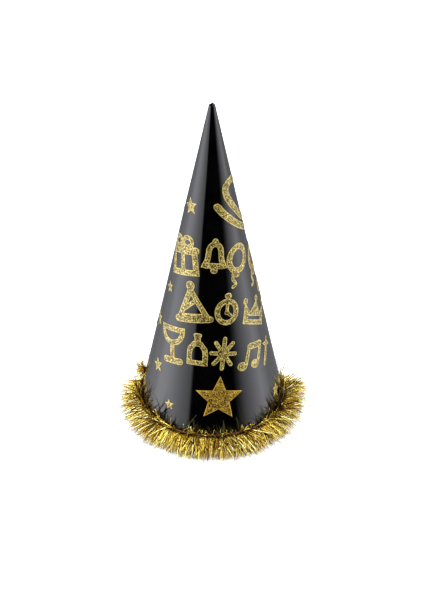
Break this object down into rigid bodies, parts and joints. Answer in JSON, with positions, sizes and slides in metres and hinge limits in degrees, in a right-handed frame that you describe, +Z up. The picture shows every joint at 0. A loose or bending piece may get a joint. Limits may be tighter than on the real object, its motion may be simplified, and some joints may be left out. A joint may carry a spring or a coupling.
{
  "type": "party hat",
  "caption": "Tall conical party hat of glossy black card with gold glitter shapes and a gold foil tinsel garland round its rim.",
  "frame": {"origin": "on the flat ring that the ends of the tinsel rest on, in the middle of the hat from its front to its back; the cone's axis stands 5.5 mm behind it, because the tinsel is pressed in against the back of the hat", "axes": "+Z up along the cone's axis to its tip; -Y is the front, with the large star; the card's seam is at +Y; +X is the wearer's left"},
  "size_m": [0.18, 0.169, 0.3227],
  "materials": {
    "black_gloss_card": "gloss",
    "clear_tape": "gloss",
    "gold_glitter": "satin",
    "brown_thread": "matte",
    "gold_foil": "polished",
    "amber_hot_melt": "satin"
  },
  "bodies": {
    "root": {"cone_shell": "black_gloss_card", "garland_core": "brown_thread", "garland_fringe": "gold_foil", "garland_tail_fringe": "gold_foil", "glue_dab_right": "amber_hot_melt", "glue_dot_01": "amber_hot_melt", "glue_dot_02": "amber_hot_melt", "glue_dot_03": "amber_hot_melt", "glue_dot_04": "amber_hot_melt", "glue_dot_05": "amber_hot_melt", "glue_dot_06": "amber_hot_melt", "glue_dot_07": "amber_hot_melt", "glue_dot_08": "amber_hot_melt", "motif_balloon_front": "gold_glitter", "motif_balloon_side": "gold_glitter", "motif_bell": "gold_glitter", "motif_bottle": "gold_glitter", "motif_bow": "gold_glitter", "motif_burst": "gold_glitter", "motif_coupe_glass": "gold_glitter", "motif_crown": "gold_glitter", "motif_gift_box": "gold_glitter", "motif_music_notes": "gold_glitter", "motif_pocket_clock": "gold_glitter", "motif_small_hat": "gold_glitter", "motif_small_hat_back": "gold_glitter", "motif_sparkler": "gold_glitter", "seam_tape": "clear_tape", "star_back_large": "gold_glitter", "star_back_left": "gold_glitter", "star_back_lower": "gold_glitter", "star_back_middle": "gold_glitter", "star_back_right": "gold_glitter", "star_back_rim": "gold_glitter", "star_back_upper": "gold_glitter", "star_front_large": "gold_glitter", "star_left_edge": "gold_glitter", "star_left_lower": "gold_glitter", "star_left_middle": "gold_glitter", "star_left_rim": "gold_glitter", "star_left_upper": "gold_glitter", "star_right_rim": "gold_glitter", "streamer_lower": "gold_glitter", "streamer_upper": "gold_glitter"}
  },
  "joints": []
}
